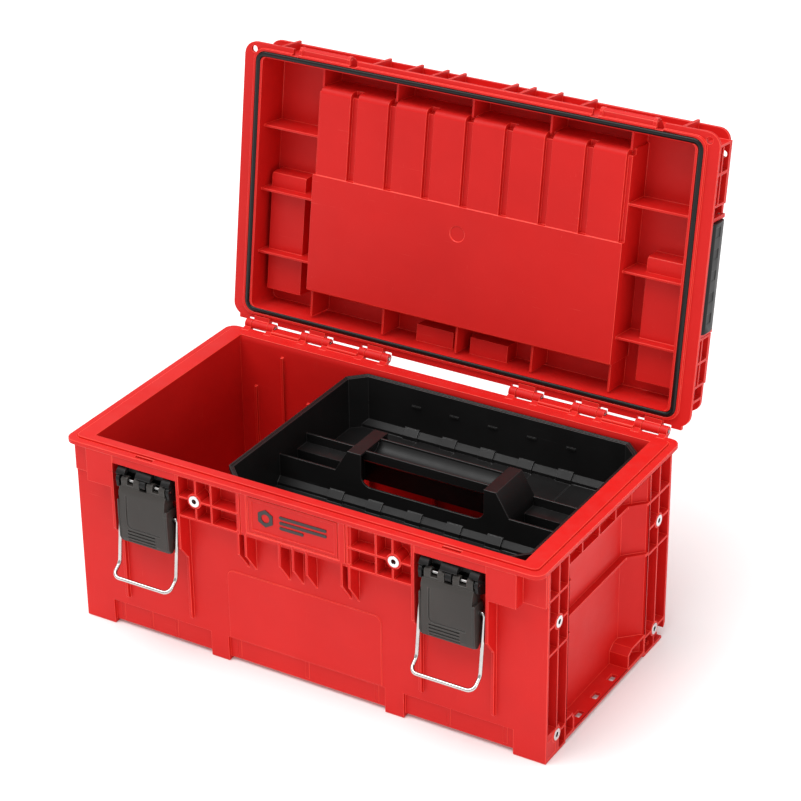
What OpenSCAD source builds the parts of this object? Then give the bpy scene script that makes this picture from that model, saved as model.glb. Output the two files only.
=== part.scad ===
// Stackable toolbox with a hinged lid, two draw latches and a lift-out tray.
// X runs along the front (+X right), Y from front to back, Z up.
// Origin: centre of the flat face the box stands on. Lid drawn open.

/* [Body] */
// Length of the top rim
rim_l = 535; // [533:1:537]
// Depth of the top rim
rim_d = 296; // [294:1:298]
// Height of the rim's flat above the floor
rim_z = 215; // [213:1:217]
// Plan corner radius of the rim
rim_r = 11; // [6:1:16]
// Thickness of the rim flange
rim_t = 4.5; // [3.5:0.5:6]
// Half length of the inside of the box
cav_x = 241.5; // [240:0.5:242.5]
// Half depth of the inside of the box
cav_y = 127; // [125.5:0.5:127.5]
// Thickness of the stiffening ribs
rib_t = 2.2; // [1.6:0.2:3]
// Width of the raised panel on the front
panel_w = 176; // [160:2:178]
// Bore of the threaded steel inserts
insert_bore = 5; // [4:0.5:6]

/* [Lid] */
// Angle of the open lid from closed
lid_open = 98.3; // [90:0.1:105]
// Height of the lid above its hinge plane
lid_h = 46; // [44:1:50]
// Diameter of the hinge pins
hinge_d = 4; // [3:0.5:5]
// Width of the seal
seal_w = 5.6; // [4:0.2:5.8]

/* [Latches] */
// Distance of each latch from the middle
latch_x = 172.3; // [171.5:0.1:173.5]
// Width of the lever
lever_w = 55; // [48:1:56]
// Wire diameter of the bail
bail_d = 4; // [3:0.5:4.5]

/* [Tray] */
// Length of the tray
tray_l = 336; // [320:1:337]
// Depth of the tray
tray_d = 251; // [240:1:252]
// Depth of the long troughs
tray_h = 59; // [50:1:60]
// Wall thickness of the tray
tray_t = 2.4; // [2:0.2:3]

/* [Carry handle] */
// Diameter of the grip
grip_d = 24; // [18:1:26]
// Width between the handle's arms
grip_l = 200; // [160:5:210]

/* [Hidden] */
e = 0.1;
red = "#d8231f"; dark = "#2a2a2b"; grey = "#4b4743"; steel = "#c9ccd0";
wall_f = -131; wall_b = 133; face = -147.3; side_x = 246; col_x = 267;
hy = 154.5; hz = rim_z + 3;        // hinge axis
p1y = -146; p1z = 187;             // lever pivot
p2y = -142; p2z = 155;             // bail pivot
hinge_c = [90, 162, 232];          // hinge centres
tx = 71;                           // tray centre in X
rim_top = rim_z + 1.5;
col_z = [[3.2, 20.8], [23.2, 117.4], [120, 146.8], [149.2, 176.8], [179.4, rim_z - rim_t]];

// ---- small helpers -------------------------------------------------
function arc(cx, cy, r, a0, a1, n) = [for (i = [0:n]) let (a = a0 + (a1 - a0) * i / n) [cx + r * cos(a), cy + r * sin(a)]];
function rr(w, d, r, n = 6) = concat(arc(w/2 - r, d/2 - r, r, 0, 90, n), arc(r - w/2, d/2 - r, r, 90, 180, n),
  arc(r - w/2, r - d/2, r, 180, 270, n), arc(w/2 - r, r - d/2, r, 270, 360, n));
module rbox(w, d, r, z0, z1, n = 6) translate([0, 0, z0]) linear_extrude(z1 - z0) polygon(rr(w, d, r, n));
module ring(w, d, r, t, z0, z1) difference() { rbox(w, d, r, z0, z1); rbox(w - 2*t, d - 2*t, max(r - t, 0.6), z0 - 1, z1 + 1); }
module bx(x0, x1, y0, y1, z0, z1) translate([x0, y0, z0]) cube([x1 - x0, y1 - y0, z1 - z0]);
// outline in Y and Z, drawn from x0 to x1
module yz(x0, x1, pts) translate([x0, 0, 0]) rotate([90, 0, 90]) linear_extrude(x1 - x0) polygon(pts);
// outline in X and Z, drawn from y0 to y1
module xz(y0, y1, pts) translate([0, y1, 0]) rotate([90, 0, 0]) linear_extrude(y1 - y0) polygon(pts);
module both() for (s = [0, 1]) mirror([s, 0, 0]) children();
module xcyl(x0, x1, y, z, r, fn = 48) translate([x0, y, z]) rotate([0, 90, 0]) cylinder(h = x1 - x0, r = r, $fn = fn);
module ycyl(y0, y1, x, z, r, fn = 48) translate([x, y1, z]) rotate([90, 0, 0]) cylinder(h = y1 - y0, r = r, $fn = fn);
module lid_place() translate([0, hy, hz]) rotate([-lid_open, 0, 0]) translate([0, -hy, -hz]) children();

// ---- body ------------------------------------------------------------
side_ins = [[-109.5, 148], [-109.5, 22], [102, 148], [102, 22]];
module side_frame() {
  // corner columns with rib cells
  difference() {
    union() {
      bx(240, col_x, wall_f, -90, 0, rim_z - 1);
      bx(240, col_x, 80, wall_b, 0, rim_z - 1);
    }
    for (z = col_z) {
      bx(248.5, col_x + 1, wall_f + 3.4, -109.5 - rib_t/2, z[0], z[1]);
      bx(248.5, col_x + 1, -109.5 + rib_t/2, -90 - rib_t, z[0], z[1]);
      bx(248.5, col_x + 1, 80 + rib_t, 102 - rib_t/2, z[0], z[1]);
      bx(248.5, col_x + 1, 102 + rib_t/2, wall_b - 3.4 - 5, z[0], z[1]);
    }
    // bevelled back corner
    translate([0, 0, -1]) linear_extrude(rim_z + 5) polygon([[col_x - 6, wall_b + 1], [col_x + 1, wall_b + 1], [col_x + 1, wall_b - 6]]);
    // set-back at the foot of the back column
    yz(230, col_x + 1, [[wall_b + 1, -1], [wall_b - 12, -1], [wall_b - 12, 5], [wall_b - 3, 18], [wall_b + 1, 18]]);
  }
  // slanted walls between panel and columns
  translate([0, 0, 3]) linear_extrude(rim_z - 5) polygon([[side_x - 1, 61], [side_x - 1, 81], [col_x - 3, 81], [col_x - 3, 80], [side_x, 61.5]]);
  translate([0, 0, 3]) linear_extrude(rim_z - 5) polygon([[side_x - 1, -71], [side_x - 1, -91], [col_x - 3, -91], [col_x - 3, -90], [side_x, -71.5]]);
  // two long shelves and the small ribs under the rim
  for (z = [122.5, 180]) {
    bx(side_x - 1, 253, -80, 70, z - 3, z);
    translate([0, 0, z - 3]) linear_extrude(3) polygon([[side_x, 61], [253, 61], [col_x - 0.2, 76], [col_x - 0.2, 81], [side_x, 81]]);
    translate([0, 0, z - 3]) linear_extrude(3) polygon([[side_x, -71], [253, -71], [col_x - 0.2, -86], [col_x - 0.2, -91], [side_x, -91]]);
  }
  for (y = [-71, -36, -1, 34, 68]) bx(side_x - 1, 253, y - rib_t/2, y + rib_t/2, 179, rim_z - rim_t + 1);
  // blocks at the foot of the columns
  difference() {
    yz(side_x - 1, col_x - 0.2, [[44, 3], [81, 3], [81, 26.5], [52, 26.5], [44, 21]]);
    yz(side_x + 6, col_x + 1, [[46.5, 6.8], [78.5, 6.8], [78.5, 24], [53, 24], [46.5, 19.6]]);
  }
  difference() {
    yz(side_x - 1, col_x - 0.2, [[-91, 3], [-72, 3], [-72, 20], [-76, 26.5], [-91, 26.5]]);
    yz(side_x + 6, col_x + 1, [[-89.5, 6.8], [-74.5, 6.8], [-74.5, 18.8], [-77.4, 24], [-89.5, 24]]);
  }
  // foot flange with three slots for the clasps of a box below
  difference() {
    bx(side_x - 1, col_x, -90, 80, 3, 6.5);
    for (y = [-49, -13, 23]) bx(256.5, 263, y - 5.5, y + 5.5, 1, 8);
  }
}
module grid() {
  difference() {
    bx(60, 133.2, face, wall_f + 1, 164, rim_z - 1);
    for (x = [[62.3, 91.9], [94.1, 110.1], [112.3, 131]]) for (z = [[166.2, 184.9], [187.1, rim_z - rim_t - 1.5]])
      bx(x[0], x[1], face - 1, wall_f - 0.5, z[0], z[1]);
  }
}
module latch_bay() {
  // side ribs of the bay, stepping back half way down
  for (x = [[latch_x - 41, latch_x - 37.8], [latch_x + 37.8, latch_x + 41]])
    yz(x[0], x[1], [[wall_f + 1, rim_z - 1], [face, rim_z - 1], [face, 127], [-135.5, 111], [-135.5, 42], [-133.5, 38], [wall_f + 1, 38]]);
}
module body_shell() color(red) {
  difference() {
    union() {
      // walls
      bx(-side_x, side_x, wall_f, wall_b, 4, rim_z - 1);
      both() side_frame();
      // rim flange and its raised inner flat
      rbox(rim_l, rim_d, rim_r, rim_z - rim_t, rim_z);
      rbox(rim_l - 17, rim_d - 17, max(rim_r - 5, 3), rim_z - 1, rim_top);
      // front collar
      both() {
        bx(latch_x + 38, 242, face, wall_f + 1, 173.5, rim_z - 1);
        bx(240, 266, -134, wall_f + 1, 174, rim_z - 1);
        bx(latch_x - 38, latch_x + 41, -146.4, wall_f + 1, 201.5, rim_z - 1);
        bx(latch_x - 38, latch_x + 41, -134.5, wall_f + 1, 197.8, 202);
        grid();
        latch_bay();
        // fins under the label
        for (x = [15.4, 54.4, 63])
          yz(x - 1.3, x + 1.3, [[wall_f + 1, 168], [face, 168], [face, 141], [wall_f, 118], [wall_f + 1, 118]]);
      }
      bx(-59, 59, face, wall_f + 1, 166.8, rim_z - 1);
      bx(-65, 65, face + 1.6, wall_f + 1, 163, rim_z - 1);
      yz(-1.3, 1.3, [[wall_f + 1, 168], [face, 168], [face, 141], [wall_f, 118], [wall_f + 1, 118]]);
      // raised panel on the front
      translate([0, wall_f + 1, 0]) rotate([90, 0, 0]) linear_extrude(2.2)
        polygon(concat([[panel_w/2, 30]], arc(panel_w/2 - 7, 101, 7, 0, 90, 5), arc(7 - panel_w/2, 101, 7, 90, 180, 5), [[-panel_w/2, 30]]));
      // pads and feet
      both() {
        bx(91, 112, wall_f, wall_f + 24, 0, 30);
        bx(91, 112, wall_b - 24, wall_b, 0, 30);
        bx(232, col_x - 0.5, wall_f, wall_f + 28, 0, 30);
        bx(232, 262, wall_b - 36, wall_b - 12, 0, 6);
      }
      // closed locating rib on the underside
      ring(344, 204, 8, 8, 0, 5);
      // hinge ears, the strips between them and the lid's back stop
      both() {
        for (c = hinge_c) for (s = [-1, 1]) {
          xcyl(c + s*14 - 4, c + s*14 + 4, hy, hz, 5.2);
          yz(c + s*14 - 4, c + s*14 + 4, [[143, rim_z - rim_t], [151.5, rim_z - rim_t], [hy + 4, hz - 3], [hy, hz - 0.9], [143, rim_z + 0.2]]);
        }
        for (x = [[110, 143], [181.5, 212.5]]) bx(x[0], x[1], 143, 151.2, rim_z - rim_t, rim_z - 0.4);
        for (x = [[107.5, 144.5], [179.5, 214.5]])
          yz(x[0], x[1], [[146, rim_z - 3], [151.5, rim_z - rim_t], [hy + 2.5, hz - 3], [hy + 2.5, hz + 0.2], [hy + 2, hz + 0.5], [146.8, hz + 0.5], [146, hz - 0.4]]);
        // gussets under the back rim
        for (x = [70, 109.8, 143.4, 181, 213, 251]) yz(x - 1.5, x + 1.5, [[wall_b - 1, 192], [wall_b - 1, rim_z - 1], [147.5, rim_z - 1], [147.5, rim_z - rim_t - 2]]);
      }
    }
    // inside of the box
    bx(-cav_x, cav_x, -cav_y, cav_y + 0.5, 30, rim_z + 10);
    bx(-cav_x, cav_x, -cav_y + 3.2, cav_y - 2.7, 7, 31);
    // groove round the foot of the raised flat
    ring(rim_l - 14.4, rim_d - 14.4, max(rim_r - 3.7, 4.3), 1.3, rim_z - 1.2, rim_z + 0.3);
    // softened mouth
    yz(-cav_x, cav_x, [[-cav_y - 2.5, rim_top + 1], [-cav_y - 2.5, rim_top - 1.5], [-cav_y + 0.5, rim_top - 7], [cav_y, rim_top - 7], [cav_y + 2.5, rim_top - 1.5], [cav_y + 2.5, rim_top + 1]]);
    // hollow underside
    rbox(328, 188, 4, -1, 4);
    // lower band, stepped in between the pads
    for (s = [-1, 1]) {
      bx(s > 0 ? 112 : -232, s > 0 ? 232 : -112, wall_f - 1, wall_f + 3.2, -1, 28);
      bx(s > 0 ? 112 : -232, s > 0 ? 232 : -112, wall_b - 3.2, wall_b + 1, -1, 28);
    }
    bx(-91, 91, wall_f - 3, wall_f + 3.2, -1, 28);
    bx(-91, 91, wall_b - 3.2, wall_b + 1, -1, 28);
    // label recess
    bx(-52.5, 52.5, face - 1, face + 1, 168.4, rim_z - rim_t - 0.6);
    bx(-50.4, 50.4, face - 1, face + 4, 169.6, 209);
    // small windows in the rim above the latches
    both() bx(162.5, 183, -145.2, -140.4, rim_z - 9, rim_z + 1);
    // bores for the steel inserts
    both() for (p = side_ins) xcyl(252, 270, p[0], p[1], 6);
    both() ycyl(face - 3, -136, 112.6, 185.8, 6);
    // hinge bores
    both() for (c = hinge_c) xcyl(c - 19, c + 19, hy, hz, hinge_d/2 + 0.05);
    // bracket screw pilot holes
    both() for (s = [-1, 1]) ycyl(-135, -128.2, latch_x + s*24.6, 192, 1.6);
  }
  // sleeves around the inserts
  both() for (p = side_ins) difference() { xcyl(247.5, col_x + 0.4, p[0], p[1], 8); xcyl(252, 270, p[0], p[1], 6); }
  both() difference() { ycyl(face - 0.3, wall_f + 1, 112.6, 185.8, 8); ycyl(face - 3, -136, 112.6, 185.8, 6); }
  // stiffening ribs inside, under the mouth; the tray stands on the tall ones
  for (x = [-222.5, -187.7, -156.5]) bx(x - 1.5, x + 1.5, cav_y - 2.4, cav_y + 1, 6.5, x < -200 ? 161 : (x < -170 ? 203 : 156));
  for (x = [-222.5, -187.7, -156.5]) bx(x - 1.5, x + 1.5, -cav_y - 1, -cav_y + 2.4, 6.5, x < -200 ? 161 : (x < -170 ? 203 : 156));
  for (x = [-80, 0, 80, 160, 222]) for (s = [-1, 1])
    yz(x - 2, x + 2, s > 0 ? [[cav_y + 1, 7], [cav_y - 7, 7], [cav_y - 7, rim_z - tray_h - 5.45], [cav_y + 1, rim_z - tray_h - 5.45]]
      : [[-cav_y - 1, 7], [-cav_y + 7, 7], [-cav_y + 7, rim_z - tray_h - 5.45], [-cav_y - 1, rim_z - tray_h - 5.45]]);
}
module label_plate() color("#c9201c") difference() {
  xz(face + 0.9, face + 4, [[-49.9, 170.1], [49.9, 170.1], [49.9, 208.5], [-49.9, 208.5]]);
  xz(face, face + 1.8, [[-46.5, 173.4], [46.5, 173.4], [46.5, 205.2], [-46.5, 205.2]]);
}
module insert_x(y, z) difference() { xcyl(253, col_x + 0.8, y, z, 6); xcyl(252, 270, y, z, insert_bore/2); }
module inserts_right() color(steel) for (p = side_ins) insert_x(p[0], p[1]);
module inserts_left() color(steel) mirror([1, 0, 0]) for (p = side_ins) insert_x(p[0], p[1]);
module inserts_front() color(steel) both() difference() { ycyl(face - 0.8, -136.1, 112.6, 185.8, 6); ycyl(face - 3, -130, 112.6, 185.8, insert_bore/2); }

// ---- latches -----------------------------------------------------------
module latch_bracket() color(dark) translate([latch_x, 0, 0]) difference() {
  union() {
    bx(-31.6, 31.6, -134.8, wall_f - 0.05, 176, 197.5);
    // hood over the knuckles, open above each finger of the lever
    difference() {
      yz(-31.6, 31.6, [[-134, 193.4], [-144, 193.4], [-149.6, 192.8], [-150.2, 194.2], [-148.6, 197], [-145.6, 199.4], [-139, 200.6], [-134.8, 197.5]]);
      for (x = [[-21.6, -9], [9, 21.6]]) bx(x[0], x[1], -152, -141.5, 190, 201);
    }
    for (x = [[-31.6, -28], [-3.2, 3.2], [28, 31.6]]) {
      xcyl(x[0], x[1], p1y, p1z, 5);
      yz(x[0], x[1], [[-134, 177], [-143, 180], [-150.6, 184.6], [-150.2, 191], [-146, 194], [-134, 197.5]]);
    }
    // stepped skirts beside the knuckles
    for (x = [[-31.6, -28.5], [28.5, 31.6]]) yz(x[0], x[1], [[-134, 172], [-140, 174], [-149.8, 179.4], [-150.4, 186], [-134, 186]]);
  }
  xcyl(-33, 33, p1y, p1z, 1.6);
  for (s = [-1, 1]) ycyl(-140, -130, s*24.6, 192, 1.7);
  // access to the screws
  for (s = [-1, 1]) ycyl(-152, -133, s*24.6, 192, 2.2);
}
module latch_screws() color(steel) translate([latch_x, 0, 0]) for (s = [-1, 1]) {
  ycyl(-135, -128.4, s*24.6, 192, 1.6, 32);
  difference() { ycyl(-137, -134.9, s*24.6, 192, 2.1, 32); bx(s*24.6 - 1.5, s*24.6 + 1.5, -138, -136.2, 191.6, 192.4); bx(s*24.6 - 0.4, s*24.6 + 0.4, -138, -136.2, 190.5, 193.5); }
}
module latch_pin() color(steel) translate([latch_x, 0, 0]) xcyl(-31.5, 31.5, p1y, p1z, 1.55);
module latch_lever() color(grey) translate([latch_x, 0, 0]) difference() {
  union() {
    // grip plate with rounded back
    yz(-lever_w/2, lever_w/2, [[-150.8, 181.2], [-153.2, 176], [-153.8, 150], [-153, 124], [-150.5, 118.6], [-146, 117.6], [-139.5, 123], [-135.4, 134], [-134.2, 147],
      [-135.4, 161], [-138.4, 172], [-141.5, 179.4]]);
    // wider sides below the bracket
    yz(-29.8, 29.8, [[-153.3, 166.4], [-153.5, 150], [-152.7, 124], [-150.2, 118.9], [-146, 117.9], [-139.8, 123.2], [-135.7, 134], [-134.5, 147],
      [-135.7, 161], [-136.8, 165], [-140, 166.4]]);
    // two hinge knuckles
    for (x = [[-26.4, -4], [4, 26.4]]) difference() {
      union() { xcyl(x[0] + 0.6, x[1] - 0.3, p1y, p1z, 4.4); bx(x[0] + 0.6, x[1] - 0.3, -150.2, -141.6, 177, p1z); }
      // window between two fingers of the knuckle
      bx(x[0] + 7.6, x[1] - 7.4, -152, -139, 183.4, 193);
    }
  }
  xcyl(-40, 40, p1y, p1z, 1.6);
  xcyl(-40, 40, p2y, p2z, bail_d/2 + 0.05);
  // inset panel and grip grooves
  difference() {
    xz(-155, -152.2, concat([[20, 135.6], [20, 173], [-19.4, 173]], arc(-13.4, 141.6, 6, 180, 270, 5)));
    xz(-156, -152, concat([[21, 137.3], [21, 174], [-17.7, 174]], arc(-12.9, 142.1, 4.8, 180, 270, 5)));
  }
  for (i = [0:3]) bx(-19.4, 14, -155, i == 0 ? -150.6 : -151.4, 120.9 + i*3.75, 122.6 + i*3.75);
  // hollow back
  bx(-lever_w/2 + 4, lever_w/2 - 4, -150.6, -130, 126, 149.6);
  bx(-lever_w/2 + 4, lever_w/2 - 4, -150.6, -130, 162.4, 176);
}
// a wire bail: two bent legs, pivot ends turned into the lever and a bottom bar
leg = bail_d/2 + 0.3;
module latch_bail() color(steel) translate([latch_x, 0, 0]) {
  for (s = [-1, 1]) {
    yz(s*34.2 - leg, s*34.2 + leg, [[p2y - leg, p2z + leg], [p2y - leg - 4, 118], [-149.6 - leg, 91], [-163, 80.7 + leg - 0.4], [-164.9, 80.2], [-164.4, 78.6], [-162.6, 78.3],
      [-149.6 + leg + 0.3, 89], [p2y + leg - 4, 118], [p2y + leg, p2z - 1], [p2y + leg, p2z + leg]]);
    xcyl(s > 0 ? 18 : -34.2, s > 0 ? 34.2 : -18, p2y, p2z, bail_d/2, 24);
  }
  xcyl(-34, 34, -162.7, 80.6, bail_d/2, 24);
}

// ---- lid (drawn closed, then swung open) ----------------------------------
ly0 = hy - 306; ly1 = hy - 6;                  // front and back edges
lz = hz; cy = (ly0 + ly1)/2;
module lbox(w, d, r, w0, w1, yc = 0) translate([0, cy + yc, lz]) rbox(w, d, r, w0, w1);
module lid_rib_box(x0, x1, y0, y1, w0, w1) bx(x0, x1, y0, y1, lz + w0, lz + w1);
bl = [-179, 179, -118, 103];                  // block seen from inside: x0, x1, y0, y1
cw_y = -8; cw_w = 26;                           // carry handle pivot: y and height above hinge plane
module lid_shell() lid_place() color(red) {
  difference() {
    union() {
      // outer flange
      lbox(540, 300, 14, 3, 7);
      // side walls and top plate
      lbox(499.5, 280.5, 9, 0.2, lid_h);
      lbox(526, 292, 12, lid_h - 4, lid_h);
      // strip towards the hinge
      bx(-262, 262, ly1 - 8, hy - 3, lz + 3, lz + 7);
      // lips either side of the seal
      lbox(514.5, 290, 13, 0, 7);
      // corner boxes on both sides
      both() {
        bx(249, 265, -137, -74, lz + 3, lz + lid_h - 1);
        bx(249, 265, 59.5, 112, lz + 3, lz + lid_h - 1);
        for (y = [-62.2, 55.8]) bx(249, 266, y - 2, y + 2, lz + 4, lz + lid_h - 2);
        for (y = [128]) bx(249, 263, y - 1.3, y + 1.3, lz + 4, lz + lid_h - 1);
      }
      // ribs on the front and back walls
      both() {
        for (x = [30, 50, 80, 118, 228]) bx(x - 1.5, x + 1.5, -151, -139, lz + 4, lz + lid_h - 2);
        for (x = [70, 110, 142, 181, 214, 250]) bx(x - 1.5, x + 1.5, 136, 146, lz + 4, lz + lid_h - 2);
        // latch catches: two lugs and a rounded bar
        for (x = [[latch_x - 30.5, latch_x - 27], [latch_x + 27, latch_x + 30.5]])
          yz(x[0], x[1], [[-142, lz + 1], [-151.5, lz + 1.5], [-154.6, lz + 4], [-154.6, lz + 8], [-151, lz + 14], [-142, lz + 22]]);
        xcyl(latch_x - 29, latch_x + 29, -151, lz + 6.5, 3.2);
        bx(latch_x - 29, latch_x + 29, -150, -142, lz + 3.3, lz + 8.5);
        // hinge knuckles
        for (c = hinge_c) {
          xcyl(c - 9.6, c + 9.6, hy, hz, 5);
          yz(c - 9.6, c + 9.6, [[hy, lz - 3.2], [hy - 3, lz - 0.4], [ly1 - 4, lz + 0.4], [ly1 - 4, lz + 7], [hy, lz + 5]]);
        }
      }
    }
    // inside of the lid
    lbox(492, 273, 6, -1, lid_h - 3);
    // groove for the seal
    difference() { lbox(509.2, 284.8, 11.6, -1, 4); lbox(509.2 - 2*(seal_w + 0.2), 284.8 - 2*(seal_w + 0.2), 6, -2, 5); }
    // cells of the corner boxes
    both() {
      for (y = [[-134.6, -108.6], [-105.6, -76.4], [62, 84.6], [87.4, 109.6]]) for (w = [[9.4, 24], [26.4, lid_h - 6.2]])
        bx(252, 268, y[0], y[1], lz + w[0], lz + w[1]);
      // strap holes in the front corner boxes and holes in the flange corners
      translate([259, -123, lz + lid_h - 8]) cylinder(h = 12, r = 3.6, $fn = 32);
      translate([258.5, -143.5, lz + 1]) cylinder(h = 8, r = 3.6, $fn = 32);
      // notches where the bails' legs pass
      bx(latch_x - 38.5, latch_x - 30.9, -156, -144.6, lz - 1, lz + 12);
      bx(latch_x + 30.9, latch_x + 38.5, -156, -144.6, lz - 1, lz + 12);
      bx(latch_x - 39, latch_x + 39, -156, -147.8, lz + lid_h - 6, lz + lid_h + 1);
      // hinge bores
      for (c = hinge_c) xcyl(c - 12, c + 12, hy, hz, hinge_d/2 + 0.05);
      // room for the body's hinge ears
      for (c = hinge_c) for (s = [-1, 1]) bx(c + s*14 - 4.6, c + s*14 + 4.6, hy - 5.9, hy + 8, lz - 1, lz + 9);
      // clearance for the clasp barrel and its swing
      bx(254.5, 268, -60.1, 53.7, lz + 34, lz + lid_h + 1);
      // clasp pin bores
      ycyl(-64.6, 58.2, 261.4, lz + 38, 1.6);
    }
    // shallow fields on top round the recess
    both() {
      for (y = [[-137, -62], [-54, 48], [56, 128]]) bx(190, 236, y[0], y[1], lz + lid_h - 1.2, lz + lid_h + 1);
      for (x = [[6, 84], [92, 180]]) { bx(x[0], x[1], -142, -127, lz + lid_h - 1.2, lz + lid_h + 1); bx(x[0], x[1], 111, 136, lz + lid_h - 1.2, lz + lid_h + 1); }
    }
    // handle recess from above
    bx(bl[0] + 3, bl[1] - 3, bl[2] + 3, bl[3] - 3, lz + 12, lz + lid_h + 1);
  }
  // recess walls and floor, the block seen from inside
  difference() {
    union() {
      bx(bl[0], bl[1], bl[2] + 6, bl[3], lz + 7.4, lz + lid_h - 0.2);
      bx(bl[0], bl[1], bl[2], bl[3], lz + 15, lz + lid_h - 0.2);
      // smooth lower part
      yz(bl[0], bl[1], [[-24.5, lz + 1.6], [-24.5, lz + 9], [bl[3], lz + 9], [bl[3], lz + 3.4], [bl[3] - 1.8, lz + 1.6]]);
      // eight columns with rounded ends
      for (i = [0:7]) translate([bl[0] + 22.4 + i*44.74, 0, 0])
        yz(-18, 18, concat([[-23, lz + 2.4]], [for (p = arc(bl[2] + 7, lz + 9.4, 7, -90, -180, 5)) p], [[bl[2], lz + 15.4], [bl[2] + 8, lz + 15.4], [-23, lz + 9]]));
    }
    bx(bl[0] + 3, bl[1] - 3, bl[2] + 9, bl[3] - 3, lz + 12, lz + lid_h + 1);
    bx(bl[0] + 3, bl[1] - 3, -21.5, bl[3] - 3, lz + 4.6, lz + 13);
    for (i = [0:7]) bx(bl[0] + 7.4 + i*44.74, bl[0] + 37.4 + i*44.74, bl[2] + 10, -27, lz + 5.4, lz + 13);
    // gate mark
    translate([-4, 4, lz + 0.6]) cylinder(h = 2, r = 8.5, $fn = 48);
  }
  // shelves at each end and short ribs round the block
  both() {
    for (y = [-63, 6, 75]) yz(bl[1] - 1, 247, [[y - 1.2, lz + 9], [y + 1.2, lz + 9], [y + 1.2, lz + lid_h - 2], [y - 1.2, lz + lid_h - 2]]);
    yz(199, 241, concat([[-11.5, lz + lid_h - 2], [-11.5, lz + 26]], [[-10.3, lz + 23.2], [-7.5, lz + 22]], [[118.5, lz + 22], [118.5, lz + lid_h - 2]]));
    bx(10, 54, 117, 135, lz + 22, lz + lid_h - 2);
  }
  for (x = [-176, -88, 0, 88, 176]) {
    bx(x - 1.1, x + 1.1, -137, bl[2] + 1, lz + 9, lz + lid_h - 2);
    bx(x - 1.1, x + 1.1, bl[3] - 1, 133, lz + 9, lz + lid_h - 2);
  }
  // bosses of the carry handle in the recess
  both() difference() {
    union() { xcyl(grip_l/2 + 12.6, grip_l/2 + 26, cw_y, lz + cw_w, 9); bx(grip_l/2 + 12.6, grip_l/2 + 26, cw_y - 9, cw_y + 9, lz + 4, lz + cw_w); }
    xcyl(grip_l/2 + 5, grip_l/2 + 24.05, cw_y, lz + cw_w, 4.05);
  }
}
module lid_seal() lid_place() color("#1b1b1c") difference() {
  union() { lbox(509, 284.6, 11.5, 1.2, 3.9); lbox(507.4, 283, 11, 0.2, 1.4); lbox(505.6, 281.2, 10.6, -0.7, 0.4); }
  lbox(509 - 2*seal_w, 284.6 - 2*seal_w, 6.2, 1, 5);
  lbox(507.4 - 2*(seal_w - 1.6), 283 - 2*(seal_w - 1.6), 7, 0, 1.3);
  lbox(505.6 - 2*(seal_w - 3.4), 281.2 - 2*(seal_w - 3.4), 8, -1, 0.4);
}
module hinge_pins() color(steel) for (c = hinge_c) xcyl(c - 18.6, c + 18.6, hy, hz, hinge_d/2);
module hinge_pins_right() hinge_pins();
module hinge_pins_left() mirror([1, 0, 0]) hinge_pins();

// ---- side clasps --------------------------------------------------------
module side_clasp() lid_place() color(dark) difference() {
  union() {
    // plate hanging beside the lid
    xz(-59.6, 53.2, [[264, lz + 40], [268, lz + 38.6], [269.5, lz + 30], [269.5, lz + 16], [267.6, lz + 12.6], [264.2, lz + 12.6], [265.4, lz + 17], [265.4, lz + 30], [263, lz + 34]]);
    ycyl(-59.6, 53.2, 261.4, lz + 38, 3.6);
    bx(261.4, 266, -59.6, 53.2, lz + 35.4, lz + 40.6);
    // three hooks at the free edge
    for (y = [-39, -3, 33]) xz(y - 4.5, y + 4.5, [[264.2, lz + 12.8], [267.6, lz + 12.8], [267.6, lz + 17], [265, lz + 17.4], [261.6, lz + 15.6], [261.6, lz + 12.8]]);
  }
  ycyl(-70, 70, 261.4, lz + 38, 1.6);
  // finger relief
  for (i = [0:4]) bx(268.9, 271, -55 + i*22, -45 + i*22, lz + 18, lz + 28);
}
module clasp_pin() lid_place() color(steel) ycyl(-64.4, 58, 261.4, lz + 38, 1.55, 24);
module side_clasp_right() side_clasp();
module side_clasp_left() mirror([1, 0, 0]) side_clasp();
module clasp_pin_right() clasp_pin();
module clasp_pin_left() mirror([1, 0, 0]) clasp_pin();

// ---- carry handle ---------------------------------------------------------
module carry_handle() lid_place() color(dark) difference() {
  union() {
    both() {
      translate([grip_l/2, 0, 0]) {
        xcyl(0, 12, cw_y, lz + cw_w, 10);
        yz(0, 12, [[cw_y, lz + cw_w - 10], [cw_y, lz + cw_w + 10], [cw_y + 78, lz + cw_w + 12], [cw_y + 92, lz + cw_w + 9], [cw_y + 97, lz + cw_w],
          [cw_y + 92, lz + cw_w - 10], [cw_y + 78, lz + cw_w - 12]]);
      }
    }
    xcyl(-grip_l/2 - 1, grip_l/2 + 1, cw_y + 84, lz + cw_w, 8);
  }
  both() xcyl(grip_l/2 - 1, grip_l/2 + 13, cw_y, lz + cw_w, 4.05);
}
module carry_grip() lid_place() color("#1d1d1e") difference() {
  union() {
    xcyl(-grip_l/2 + 0.2, grip_l/2 - 0.2, cw_y + 84, lz + cw_w, grip_d/2 - 1.5);
    for (i = [0:12]) xcyl(-grip_l/2 + 7 + i*(grip_l - 14)/13, -grip_l/2 + 7 + (i + 0.68)*(grip_l - 14)/13, cw_y + 84, lz + cw_w, grip_d/2);
  }
  xcyl(-grip_l/2 - 1, grip_l/2 + 1, cw_y + 84, lz + cw_w, 8);
}
module carry_pins() lid_place() color(steel) both() xcyl(grip_l/2 + 0.5, grip_l/2 + 24, cw_y, lz + cw_w, 4);

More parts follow.
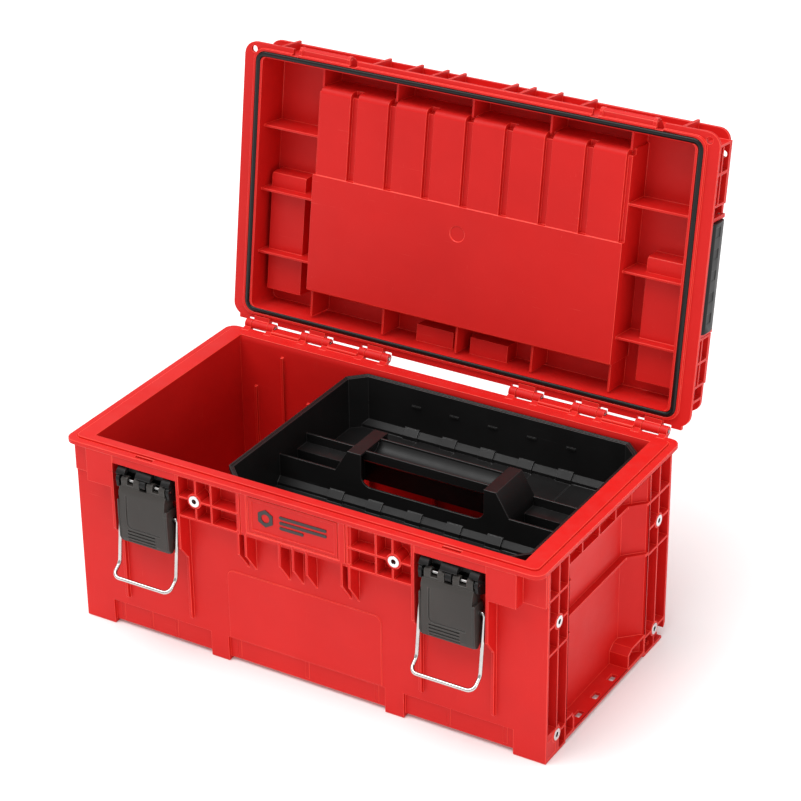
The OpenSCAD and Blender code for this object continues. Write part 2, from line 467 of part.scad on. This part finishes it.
// ---- tray ---------------------------------------------------------------
tz = rim_z - 3; tf = tz - tray_h;              // top of the tray and its trough floor
s0 = -68.5 - 13.5; s1 = 82;                    // spine ends at the top, from the tray's centre
function chrect(w, d, c) = [[w/2, d/2 - c], [w/2 - c, d/2], [c - w/2, d/2], [-w/2, d/2 - c], [-w/2, c - d/2], [c - w/2, -d/2], [w/2 - c, -d/2], [w/2, c - d/2]];
module cbox(w, d, c, z0, z1) translate([0, 0, z0]) linear_extrude(z1 - z0) polygon(chrect(w, d, c));
module tray_step(y, dir) {
  // sloping step along a wall with raised stops for dividers
  yz(-tray_l/2 + 4, tray_l/2 - 4, [[y, tf - 1], [y, tf + 9], [y + dir*5.5, tf + 3.5], [y + dir*5.5, tf - 1]]);
  for (i = [-2:2]) yz(i*44.8 - 14.5, i*44.8 + 2.6, [[y, tf - 1], [y, tf + 10.6], [y + dir*1.6, tf + 10.6], [y + dir*7.4, tf + 4.6], [y + dir*7.4, tf - 1]]);
}
module tray() color("#1f1f20") translate([tx, 0, 0]) {
  difference() {
    union() {
      cbox(tray_l - 4, tray_d - 4, 16, tf - 2.4, tz);
      cbox(tray_l, tray_d, 17, tz - 5, tz);
    }
    // long troughs in front of and behind the spine
    difference() {
      cbox(tray_l - 4 - 2*tray_t, tray_d - 4 - 2*tray_t, 15, tf, tz + 1);
      bx(-tray_l/2, tray_l/2, -26.4, 26.4, tf - 1, 186);
      yz(s0 - 16, s1 + 16, [[-26.4, 180], [26.4, 180], [26.4, tz - 1], [-26.4, tz - 1]]);
    }
    // sloping ends of the spine
    xz(-26.5, 26.5, [[s0 - 17, tz + 1], [s0 - 17, 186], [s0 - 16, 186], [s0, tz + 1]]);
    xz(-26.5, 26.5, [[s1 + 17, tz + 1], [s1 + 17, 186], [s1 + 16, 186], [s1, tz + 1]]);
    // hollow under the spine
    xz(-24, 24, [[s0 - 12.6, tf - 5], [s0 - 12.6, 184], [s0 + 3, tz - 3.4], [s1 - 3, tz - 3.4], [s1 + 12.6, 184], [s1 + 12.6, tf - 5]]);
    // small compartments at both ends of the spine
    bx(-tray_l/2 + 2 + tray_t, s0 - 15.4, -24, 24, tf + 6, tz);
    bx(s1 + 15.4, tray_l/2 - 2 - tray_t, -24, 24, tf + 6, tz);
    // hand opening
    xz(-30, 30, concat([[s0 + 14, tz + 1]], arc(s0 + 25, 187, 11, 180, 270, 6), arc(s1 - 23, 187, 11, 270, 360, 6), [[s1 - 12, tz + 1]]));
    // dividing lines of the floor
    for (i = [-2:2]) for (s = [-1, 1]) bx(i*44.8 + 2.2, i*44.8 + 3.2, s > 0 ? 33 : -113, s > 0 ? 113 : -33, tf - 0.7, tf + 1);
    // rounded edge under the rim inside
    cbox(tray_l - 4, tray_d - 4, 16, tz - 1.2, tz + 1);
  }
  // grip: an open channel between the straps
  difference() {
    yz(s0 + 10, s1 - 8, [[-16, tz - 1.6], [-16, tz - 12], [-12.4, tz - 15.4], [11.6, tz - 15.4], [15, tz - 12], [15, tz - 1.6]]);
    yz(s0 + 12, s1 - 10, [[-13.8, tz], [-13.8, tz - 4], [-11.4, tz - 8.6], [-6.6, tz - 11.8], [-0.5, tz - 13], [5.6, tz - 11.8], [10.4, tz - 8.6], [12.8, tz - 4], [12.8, tz]]);
  }
  // steps with divider stops along walls and spine
  tray_step(-tray_d/2 + 4.2, 1);
  tray_step(tray_d/2 - 4.2, -1);
  tray_step(-26, -1);
  tray_step(26, 1);
  // divider tabs high on both long walls
  for (i = [-2:2]) for (s = [-1, 1]) bx(i*44.8 - 6, i*44.8 + 4, s > 0 ? tray_d/2 - 6.4 : 3 - tray_d/2, s > 0 ? tray_d/2 - 3 : 6.4 - tray_d/2, tz - 22.6, tz - 20.6);
  // ledges in the end compartments
  bx(-tray_l/2 + 3, s0 - 15, 6, 24.5, tf + 4, 176);
  bx(s1 + 15, tray_l/2 - 3, 6, 24.5, tf + 4, 176);
}

body_shell();
label_plate();
inserts_front();
inserts_right();
inserts_left();
mirror([1, 0, 0]) latch_bracket();  // latch_bracket_left
latch_bracket();  // latch_bracket_right
mirror([1, 0, 0]) latch_screws();  // latch_screws_left
latch_screws();  // latch_screws_right
mirror([1, 0, 0]) latch_pin();  // latch_pin_left
latch_pin();  // latch_pin_right
translate([-2*latch_x, 0, 0]) latch_lever();  // latch_lever_left
latch_lever();  // latch_lever_right
mirror([1, 0, 0]) latch_bail();  // latch_bail_left
latch_bail();  // latch_bail_right
lid_shell();
lid_seal();
hinge_pins_left();
hinge_pins_right();
side_clasp_left();
side_clasp_right();
clasp_pin_left();
clasp_pin_right();
carry_handle();
carry_grip();
carry_pins();
tray();
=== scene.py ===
import math
import bpy
import bmesh
from mathutils import Vector, Matrix


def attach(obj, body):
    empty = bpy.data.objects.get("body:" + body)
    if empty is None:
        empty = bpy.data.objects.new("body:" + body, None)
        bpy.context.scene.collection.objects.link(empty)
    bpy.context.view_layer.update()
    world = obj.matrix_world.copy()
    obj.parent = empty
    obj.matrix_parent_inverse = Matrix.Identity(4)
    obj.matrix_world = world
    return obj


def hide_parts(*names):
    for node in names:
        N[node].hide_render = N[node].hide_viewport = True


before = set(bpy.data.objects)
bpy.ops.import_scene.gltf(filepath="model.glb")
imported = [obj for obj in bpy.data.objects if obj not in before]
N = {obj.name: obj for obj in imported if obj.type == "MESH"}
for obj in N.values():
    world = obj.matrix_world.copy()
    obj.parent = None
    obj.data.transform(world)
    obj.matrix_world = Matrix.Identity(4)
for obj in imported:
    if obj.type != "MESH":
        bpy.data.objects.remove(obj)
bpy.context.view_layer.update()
MM = 0.001

# ------------------------------------------------------------------ materials


def new_mat(name):
    m = bpy.data.materials.new(name)
    m.use_nodes = True
    nt = m.node_tree
    nt.nodes.clear()
    out = nt.nodes.new("ShaderNodeOutputMaterial")
    bs = nt.nodes.new("ShaderNodeBsdfPrincipled")
    nt.links.new(bs.outputs[0], out.inputs[0])
    return m, nt, bs


def coords(nt, scale=(1, 1, 1)):
    tc = nt.nodes.new("ShaderNodeTexCoord")
    mp = nt.nodes.new("ShaderNodeMapping")
    mp.inputs["Scale"].default_value = scale
    nt.links.new(tc.outputs["Object"], mp.inputs["Vector"])
    return mp.outputs[0]


def noise(nt, vec, scale, detail=3.0, rough=0.5, dist=0.0):
    n = nt.nodes.new("ShaderNodeTexNoise")
    n.inputs["Scale"].default_value = scale
    n.inputs["Detail"].default_value = detail
    n.inputs["Roughness"].default_value = rough
    n.inputs["Distortion"].default_value = dist
    nt.links.new(vec, n.inputs["Vector"])
    return n.outputs["Fac"]


def rng(nt, val, a, b, c, d):
    n = nt.nodes.new("ShaderNodeMapRange")
    n.inputs["From Min"].default_value = a
    n.inputs["From Max"].default_value = b
    n.inputs["To Min"].default_value = c
    n.inputs["To Max"].default_value = d
    nt.links.new(val, n.inputs["Value"])
    return n.outputs["Result"]


def math_n(nt, op, a, b):
    n = nt.nodes.new("ShaderNodeMath")
    n.operation = op
    for i, v in enumerate((a, b)):
        if hasattr(v, "links"):
            nt.links.new(v, n.inputs[i])
        else:
            n.inputs[i].default_value = v
    return n.outputs[0]


def mix_rgb(nt, fac, a, b):
    n = nt.nodes.new("ShaderNodeMix")
    n.data_type = "RGBA"
    nt.links.new(fac, n.inputs["Factor"])
    ia = [s for s in n.inputs if s.name == "A" and s.type == "RGBA"][0]
    ib = [s for s in n.inputs if s.name == "B" and s.type == "RGBA"][0]
    for s, v in ((ia, a), (ib, b)):
        if hasattr(v, "links"):
            nt.links.new(v, s)
        else:
            s.default_value = (*v, 1)
    return [s for s in n.outputs if s.type == "RGBA"][0]


def bump(nt, h, strength, distance, normal=None):
    n = nt.nodes.new("ShaderNodeBump")
    n.inputs["Strength"].default_value = strength
    n.inputs["Distance"].default_value = distance
    nt.links.new(h, n.inputs["Height"])
    if normal is not None:
        nt.links.new(normal, n.inputs["Normal"])
    return n.outputs[0]


def plastic(name, base, deep, light, rough=(0.34, 0.46), grain=1500.0, grain_s=0.10,
            wave_s=0.12, scratch=0.25, spec=0.5, dust=0.05, sheen=0.0):
    """Moulded plastic: fine die texture, slow waviness, faint handling scratches, uneven gloss and a little dust on faces that look up."""
    m, nt, bs = new_mat(name)
    v = coords(nt)
    blotch = noise(nt, v, 9.0, 4.0, 0.6)
    fine = noise(nt, v, 70.0, 5.0, 0.6)
    col = mix_rgb(nt, rng(nt, blotch, 0.35, 0.68, 0.0, 1.0), base, deep)
    # short thin scratches, in two directions
    s1 = noise(nt, coords(nt, (6, 260, 260)), 3.0, 2.0, 0.4, 0.3)
    s2 = noise(nt, coords(nt, (230, 240, 9)), 3.0, 2.0, 0.4, 0.3)
    sc = math_n(nt, "MAXIMUM", rng(nt, s1, 0.71, 0.76, 0, 1), rng(nt, s2, 0.72, 0.77, 0, 1))
    sc = math_n(nt, "MULTIPLY", sc, rng(nt, fine, 0.45, 0.6, 0, 1))
    col = mix_rgb(nt, math_n(nt, "MULTIPLY", sc, scratch), col, light)
    if dust > 0:
        geo = nt.nodes.new("ShaderNodeNewGeometry")
        sep = nt.nodes.new("ShaderNodeSeparateXYZ")
        nt.links.new(geo.outputs["Normal"], sep.inputs[0])
        up = rng(nt, sep.outputs["Z"], 0.6, 1.0, 0.0, 1.0)
        d = math_n(nt, "MULTIPLY", up, rng(nt, fine, 0.4, 0.75, 0.0, dust))
        col = mix_rgb(nt, d, col, (0.55, 0.50, 0.47))
    nt.links.new(col, bs.inputs["Base Color"])
    r = rng(nt, noise(nt, v, 26.0, 6.0, 0.65), 0.3, 0.7, rough[0], rough[1])
    r = math_n(nt, "ADD", r, math_n(nt, "MULTIPLY", sc, 0.12))
    nt.links.new(r, bs.inputs["Roughness"])
    b1 = bump(nt, noise(nt, v, 5.5, 1.0, 0.4), wave_s, 0.0035)
    b2 = bump(nt, noise(nt, v, grain, 2.0, 0.6), grain_s, 0.00012, b1)
    nt.links.new(b2, bs.inputs["Normal"])
    bs.inputs["Specular IOR Level"].default_value = spec
    if sheen:
        bs.inputs["Sheen Weight"].default_value = sheen
        bs.inputs["Sheen Roughness"].default_value = 0.5
    return m


def steel(name, base=(0.80, 0.80, 0.81), rough=(0.14, 0.30), scale=(1, 1, 1)):
    m, nt, bs = new_mat(name)
    v = coords(nt, scale)
    blotch = noise(nt, v, 55.0, 4.0, 0.6)
    col = mix_rgb(nt, rng(nt, blotch, 0.35, 0.7, 0, 1), base, tuple(c * 0.78 for c in base))
    nt.links.new(col, bs.inputs["Base Color"])
    bs.inputs["Metallic"].default_value = 1.0
    fine = noise(nt, coords(nt, (scale[0] * 1.0, scale[1] * 8.0, scale[2] * 1.5)), 420.0, 4.0, 0.6)
    nt.links.new(rng(nt, fine, 0.3, 0.7, rough[0], rough[1]), bs.inputs["Roughness"])
    nt.links.new(bump(nt, fine, 0.10, 0.00008), bs.inputs["Normal"])
    return m


RED = (0.66, 0.0125, 0.0100)
M = {}
M["red"] = plastic("red_moulded", RED, (0.60, 0.0100, 0.0082), (0.80, 0.13, 0.10), rough=(0.42, 0.54), grain_s=0.16, dust=0.02, spec=0.22)
# Lighter, glossier copy of the red for the bevel faces: painted highlight along the edges, partly edge wear with more
# scratches.
M["red_edge"] = plastic("red_moulded_edge_wear_and_highlight", (0.86, 0.055, 0.032), (0.80, 0.034, 0.022), (0.92, 0.26, 0.20), rough=(0.28, 0.40), grain_s=0.05, wave_s=0.0, scratch=0.6, dust=0.0, spec=0.4)
M["label"] = plastic("label_red", (0.64, 0.0120, 0.0090), (0.58, 0.0100, 0.0080), (0.8, 0.16, 0.12), rough=(0.36, 0.46), grain_s=0.20, dust=0.0, spec=0.22)
M["black"] = plastic("black_moulded", (0.0085, 0.0083, 0.0085), (0.012, 0.0118, 0.0118), (0.09, 0.09, 0.09), rough=(0.34, 0.48), grain_s=0.16, scratch=0.12, dust=0.004, spec=0.16)
# Lighter, glossier copy of the black for the bevel faces: painted highlight along the edges, partly edge wear.
M["black_edge"] = plastic("black_moulded_edge_wear_and_highlight", (0.0125, 0.0122, 0.0122), (0.0100, 0.0098, 0.0098), (0.09, 0.09, 0.09), rough=(0.25, 0.36), grain_s=0.06, wave_s=0.0, scratch=0.3, dust=0.0, spec=0.28)
M["tray"] = plastic("tray_moulded", (0.0070, 0.0066, 0.0066), (0.0105, 0.010, 0.010), (0.08, 0.08, 0.08), rough=(0.36, 0.50), grain=1100.0, grain_s=0.20, scratch=0.14, dust=0.004, spec=0.24)
# Lighter, glossier copy of the tray black for the bevel faces: painted highlight along the edges, partly edge wear.
M["tray_edge"] = plastic("tray_moulded_edge_wear_and_highlight", (0.026, 0.025, 0.025), (0.020, 0.019, 0.019), (0.12, 0.11, 0.11), rough=(0.24, 0.36), grain_s=0.06, wave_s=0.0, scratch=0.4, dust=0.0, spec=0.4)
M["grey"] = plastic("lever_grey", (0.044, 0.0385, 0.0345), (0.036, 0.0318, 0.0285), (0.15, 0.14, 0.13), rough=(0.46, 0.58), grain=950.0, grain_s=0.42, scratch=0.30, dust=0.02, spec=0.3)
# Lighter, glossier copy of the lever grey for the bevel faces: painted highlight along the edges, partly edge wear.
M["grey_edge"] = plastic("lever_grey_edge_wear_and_highlight", (0.066, 0.060, 0.055), (0.052, 0.047, 0.043), (0.22, 0.20, 0.19), rough=(0.34, 0.46), grain_s=0.15, wave_s=0.0, scratch=0.4, dust=0.0, spec=0.4)
M["rubber"] = plastic("seal_rubber", (0.0040, 0.0040, 0.0044), (0.0058, 0.0058, 0.0062), (0.03, 0.03, 0.03), rough=(0.26, 0.38), grain=1800.0, grain_s=0.2, scratch=0.1, dust=0.0, spec=0.3)
M["grip"] = plastic("grip_rubber", (0.012, 0.012, 0.012), (0.017, 0.017, 0.017), (0.06, 0.06, 0.06), rough=(0.55, 0.72), grain=1300.0, grain_s=0.5, scratch=0.1, dust=0.06)
M["mark"] = plastic("mark_black", (0.016, 0.014, 0.014), (0.021, 0.019, 0.019), (0.12, 0.1, 0.1), rough=(0.30, 0.42), grain_s=0.2, dust=0.0)
M["steel"] = steel("zinc_steel")
M["wire"] = steel("zinc_wire", base=(0.60, 0.59, 0.575), rough=(0.08, 0.17), scale=(2, 2, 2))
M["pin"] = steel("zinc_pin", base=(0.34, 0.335, 0.33), rough=(0.18, 0.30))

# ------------------------------------------------------------------ carried-over CAD nodes


def dress(name, mat, edge=None, width=0.5, segs=2, angle=32, dissolve=False):
    o = N[name]
    me = o.data
    me.materials.clear()
    me.materials.append(M[mat])
    if edge:
        me.materials.append(M[edge])
    for p in me.polygons:
        p.material_index = 0
    if "custom_normal" in me.attributes:
        me.attributes.remove(me.attributes["custom_normal"])
    me.shade_smooth()
    w = o.modifiers.new("weld", "WELD")
    w.merge_threshold = 2e-6
    if dissolve:
        d = o.modifiers.new("planar", "DECIMATE")
        d.decimate_type = "DISSOLVE"
        d.angle_limit = math.radians(0.6)
    if width:
        b = o.modifiers.new("edges", "BEVEL")
        b.width = width * MM
        b.segments = segs
        b.limit_method = "ANGLE"
        b.angle_limit = math.radians(angle)
        b.use_clamp_overlap = False
        b.miter_outer = "MITER_SHARP"
        # Bevel faces take the lighter edge material in slot 1: painted highlight along the edges, partly edge wear.
        if edge:
            b.material = 1
        b.harden_normals = False
    wn = o.modifiers.new("shade", "WEIGHTED_NORMAL")
    wn.weight = 100
    wn.keep_sharp = False
    return o


dress("body_shell", "red", "red_edge", 0.45)
dress("lid_shell", "red", "red_edge", 0.45)
dress("label_plate", "label", "red_edge", 0.25)
dress("tray", "tray", "tray_edge", 0.45)
for s in ("left", "right"):
    dress("latch_bracket_" + s, "black", "black_edge", 0.35)
    dress("latch_lever_" + s, "grey", "grey_edge", 0.55)
    dress("side_clasp_" + s, "black", "black_edge", 0.4)
    dress("latch_screws_" + s, "pin", None, 0.15)
    dress("latch_pin_" + s, "pin", None, 0.3)
    dress("clasp_pin_" + s, "pin", None, 0.3)
    dress("hinge_pins_" + s, "pin", None, 0.3)
    dress("inserts_" + s, "steel", None, 0.3)
dress("inserts_front", "steel", None, 0.3)
dress("carry_handle", "black", "black_edge", 0.8, 3)
dress("carry_grip", "grip", None, 0.6, 3)
dress("carry_pins", "steel", None, 0.4)

# ------------------------------------------------------------------ new pieces


def mesh_obj(name, bm, mat, body, smooth=True):
    bmesh.ops.recalc_face_normals(bm, faces=bm.faces)
    me = bpy.data.meshes.new(name)
    bm.to_mesh(me)
    bm.free()
    for p in me.polygons:
        p.use_smooth = smooth
    me.materials.append(M[mat])
    o = bpy.data.objects.new(name, me)
    bpy.context.scene.collection.objects.link(o)
    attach(o, body)
    return o


def fillet(points, radii, steps=8):
    """A path through points with its corners rounded."""
    out = [Vector(points[0])]
    for i in range(1, len(points) - 1):
        a, p, b = Vector(points[i - 1]), Vector(points[i]), Vector(points[i + 1])
        u, v = (a - p).normalized(), (b - p).normalized()
        ang = u.angle(v)
        r = radii[i - 1]
        if r <= 0 or ang > math.pi - 0.01:
            out.append(p)
            continue
        t = r / math.tan(ang / 2)
        t = min(t, (a - p).length * 0.49, (b - p).length * 0.49)
        r = t * math.tan(ang / 2)
        c = p + (u + v).normalized() * (r / math.sin(ang / 2))
        s, e = p + u * t - c, p + v * t - c
        tot = s.angle(e)
        for k in range(steps + 1):
            q = k / steps
            if tot < 1e-6:
                out.append(p)
                break
            w = (s * math.sin((1 - q) * tot) + e * math.sin(q * tot)) / math.sin(tot)
            out.append(c + w)
    out.append(Vector(points[-1]))
    return out


def tube(path, radius, sides=16, cap=True):
    """A round bar along a path, turned without twist, with slightly domed ends."""
    bm = bmesh.new()
    n = len(path)
    tang = []
    for i in range(n):
        a = path[max(i - 1, 0)]
        b = path[min(i + 1, n - 1)]
        tang.append((b - a).normalized())
    ref = Vector((0, 0, 1)) if abs(tang[0].z) < 0.9 else Vector((0, 1, 0))
    nrm = (ref - tang[0] * ref.dot(tang[0])).normalized()
    rings = []

    def ring(c, nrm, t, r):
        bi = t.cross(nrm)
        return [bm.verts.new(c + (nrm * math.cos(2 * math.pi * k / sides) + bi * math.sin(2 * math.pi * k / sides)) * r) for k in range(sides)]

    frames = []
    for i in range(n):
        nrm = (nrm - tang[i] * nrm.dot(tang[i])).normalized()
        frames.append(nrm.copy())
    e = radius * 0.28
    rings.append(ring(path[0], frames[0], tang[0], radius * 0.72))
    rings.append(ring(path[0] + tang[0] * e, frames[0], tang[0], radius))
    for i in range(1, n - 1):
        rings.append(ring(path[i], frames[i], tang[i], radius))
    rings.append(ring(path[-1] - tang[-1] * e, frames[-1], tang[-1], radius))
    rings.append(ring(path[-1], frames[-1], tang[-1], radius * 0.72))
    for a, b in zip(rings, rings[1:]):
        for k in range(sides):
            bm.faces.new((a[k], a[(k + 1) % sides], b[(k + 1) % sides], b[k]))
    bm.faces.new(list(reversed(rings[0])))
    bm.faces.new(rings[-1])
    return bm


# wire bails with bent corners
LX = 172.3
for s, nm in ((-1, "left"), (1, "right")):
    cx = s * LX
    half = [(18.5, -142, 155), (34.2, -142, 155), (34.2, -146.2, 118), (34.2, -149.6, 90.6), (34.0, -162.7, 80.6)]
    pts = half + [(-x, y, z) for x, y, z in reversed(half)]
    pts = [Vector(((cx + x) * MM, y * MM, z * MM)) for x, y, z in pts]
    path = fillet(pts, [r * MM for r in (3.0, 30, 10, 7.5, 7.5, 10, 30, 3.0)], 9)
    o = mesh_obj("latch_bail_wire_" + nm, tube(path, 1.98 * MM, 18), "wire", "bail_" + nm)
    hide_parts("latch_bail_" + nm)

# rounded seal seated in the lid's groove
TH = math.radians(-98.3)
HY, HZ = 154.5, 218.0
CA, SA = math.cos(TH), math.sin(TH)


def lid_pt(x, y, w):
    """A point given on the closed lid (w is the height above its hinge plane), swung to the open lid, in metres."""
    dy, dz = y - HY, w
    return Vector((x * MM, (HY + dy * CA - dz * SA) * MM, (HZ + dy * SA + dz * CA) * MM))


def seal():
    W, D, R, CY = 509.0, 284.6, 11.5, HY - 156.0
    # section: s is measured inwards from the outer edge, w upwards
    prof = [(0.0, 3.8), (0.0, 1.6)]
    for k in range(0, 13):
        a = math.pi - math.pi * k / 12
        prof.append((2.8 + 2.72 * math.cos(a), 1.5 - 2.2 * math.sin(a)))
    prof += [(5.6, 1.6), (5.6, 3.8)]
    bm = bmesh.new()
    rings = []
    cor = 10
    for q in range(4):
        sx = (1, -1, -1, 1)[q]
        sy = (1, 1, -1, -1)[q]
        a0 = q * 90
        for k in range(cor + 1):
            a = math.radians(a0 + 90 * k / cor)
            ux, uy = math.cos(a), math.sin(a)
            c = (sx * (W / 2 - R), sy * (D / 2 - R))
            rings.append([bm.verts.new(lid_pt(c[0] + ux * (R - s_), CY + c[1] + uy * (R - s_), w_)) for s_, w_ in prof])
    m = len(prof)
    for i, a in enumerate(rings):
        b = rings[(i + 1) % len(rings)]
        for k in range(m):
            bm.faces.new((a[k], a[(k + 1) % m], b[(k + 1) % m], b[k]))
    o = mesh_obj("lid_seal_bead", bm, "rubber", "lid")
    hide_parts("lid_seal")


seal()


def prism(outline, y0, y1):
    """A flat plate from an outline in X and Z, between two depths, mm."""
    bm = bmesh.new()
    a = [bm.verts.new((x * MM, y0 * MM, z * MM)) for x, z in outline]
    b = [bm.verts.new((x * MM, y1 * MM, z * MM)) for x, z in outline]
    n = len(outline)
    bm.faces.new(a)
    bm.faces.new(list(reversed(b)))
    for k in range(n):
        bm.faces.new((a[k], b[k], b[(k + 1) % n], a[(k + 1) % n]))
    return bm


# plain raised mark on the label plate: a nut outline and three bars
def add_mark():
    bm = bmesh.new()
    cx, cz, ro, ri = -31.0, 189.4, 9.6, 4.6
    y0, y1 = -146.1, -145.2
    out, inn = [], []
    n = 36
    for k in range(n):
        a = 2 * math.pi * k / n + math.pi / 6
        sect = (a - math.pi / 6) % (math.pi / 3) - math.pi / 6
        r = ro * math.cos(math.pi / 6) / math.cos(sect)
        out.append((cx + r * math.cos(a), cz + r * math.sin(a)))
        inn.append((cx + ri * math.cos(a), cz + ri * math.sin(a)))
    vo = [[bm.verts.new((x * MM, y * MM, z * MM)) for x, z in out] for y in (y0, y1)]
    vi = [[bm.verts.new((x * MM, y * MM, z * MM)) for x, z in inn] for y in (y0, y1)]
    for k in range(n):
        j = (k + 1) % n
        bm.faces.new((vo[0][k], vo[0][j], vi[0][j], vi[0][k]))
        bm.faces.new((vo[1][k], vi[1][k], vi[1][j], vo[1][j]))
        bm.faces.new((vo[0][k], vo[1][k], vo[1][j], vo[0][j]))
        bm.faces.new((vi[0][k], vi[0][j], vi[1][j], vi[1][k]))
    for x0, x1, z0, z1 in ((-15, 38, 193.6, 196.8), (-15, 38, 187.8, 191.0), (-15, 12, 182.0, 185.2)):
        pts = []
        r = 1.2
        for sx, sz, a0 in ((1, 1, 0), (-1, 1, 90), (-1, -1, 180), (1, -1, 270)):
            for k in range(5):
                a = math.radians(a0 + 22.5 * k)
                px = (x1 if sx > 0 else x0) - sx * r + r * math.cos(a)
                pz = (z1 if sz > 0 else z0) - sz * r + r * math.sin(a)
                pts.append((px, pz))
        a_ = [bm.verts.new((x * MM, y0 * MM, z * MM)) for x, z in pts]
        b_ = [bm.verts.new((x * MM, y1 * MM, z * MM)) for x, z in pts]
        bm.faces.new(a_)
        bm.faces.new(list(reversed(b_)))
        m = len(pts)
        for k in range(m):
            bm.faces.new((a_[k], b_[k], b_[(k + 1) % m], a_[(k + 1) % m]))
    mesh_obj("label_mark", bm, "mark", "box", smooth=False)


add_mark()

# ------------------------------------------------------------------ stage, light, camera


def floor():
    bm = bmesh.new()
    bmesh.ops.create_grid(bm, x_segments=1, y_segments=1, size=14.0)
    me = bpy.data.meshes.new("floor")
    bm.to_mesh(me)
    bm.free()
    o = bpy.data.objects.new("floor", me)
    bpy.context.scene.collection.objects.link(o)
    o.location = (0, 0, -0.0006)
    m, nt, bs = new_mat("floor_pale")
    v = coords(nt)
    c = mix_rgb(nt, noise(nt, v, 3.0, 3.0), (0.90, 0.90, 0.90), (0.93, 0.93, 0.93))
    nt.links.new(c, bs.inputs["Base Color"])
    bs.inputs["Roughness"].default_value = 0.9
    bs.inputs["Specular IOR Level"].default_value = 0.1
    nt.links.new(c, bs.inputs["Emission Color"])
    bs.inputs["Emission Strength"].default_value = 0.10
    me.materials.append(m)


floor()


def area(name, loc, target, size, power, colour=(1, 1, 1), size_y=None):
    l = bpy.data.lights.new(name, "AREA")
    l.shape = "RECTANGLE"
    l.size = size
    l.size_y = size_y or size
    l.energy = power
    l.color = colour
    o = bpy.data.objects.new(name, l)
    bpy.context.scene.collection.objects.link(o)
    o.location = loc
    d = Vector(target) - Vector(loc)
    o.rotation_mode = "QUATERNION"
    o.rotation_quaternion = d.to_track_quat("-Z", "Y")
    return o


sun = bpy.data.lights.new("soft_top", "SUN")
sun.energy = 2.6
sun.angle = math.radians(55)
so = bpy.data.objects.new("soft_top", sun)
bpy.context.scene.collection.objects.link(so)
so.rotation_mode = "QUATERNION"
so.rotation_quaternion = Vector((0.22, 0.20, -0.95)).to_track_quat("-Z", "Y")
area("key", (-1.0, -1.7, 2.4), (0, 0, 0.15), 1.4, 4.0)
area("front", (0.6, -2.8, 0.8), (0, 0, 0.2), 1.8, 0.6)
area("fill_right", (2.6, -0.5, 1.0), (0, 0, 0.2), 1.4, 11)

w = bpy.data.worlds.new("studio")
bpy.context.scene.world = w
w.use_nodes = True
w.node_tree.nodes["Background"].inputs[0].default_value = (1.0, 1.0, 1.0, 1)
w.node_tree.nodes["Background"].inputs[1].default_value = 0.58

cam_data = bpy.data.cameras.new("camera")
cam = bpy.data.objects.new("camera", cam_data)
bpy.context.scene.collection.objects.link(cam)
yaw, pitch, roll = math.radians(30.91), math.radians(27.76), math.radians(-0.62)
f = Vector((-math.sin(yaw) * math.cos(pitch), math.cos(yaw) * math.cos(pitch), -math.sin(pitch)))
r = f.cross(Vector((0, 0, 1))).normalized()
u = r.cross(f)
r2 = r * math.cos(roll) + u * math.sin(roll)
u2 = -r * math.sin(roll) + u * math.cos(roll)
pos = Vector((1179.11, -1913.07, 1440.86)) * MM
cam.matrix_world = Matrix(((r2.x, u2.x, -f.x, pos.x), (r2.y, u2.y, -f.y, pos.y), (r2.z, u2.z, -f.z, pos.z), (0, 0, 0, 1)))
cam_data.sensor_width = 36.0
cam_data.lens = 2589.71 / 801 * 36.0
cam_data.clip_start = 0.1
cam_data.clip_end = 100.0
bpy.context.scene.camera = cam
bpy.context.scene.view_settings.view_transform = "Standard"
bpy.context.scene.view_settings.look = "None"
bpy.context.scene.view_settings.exposure = 0.0
bpy.context.scene.view_settings.gamma = 1.0
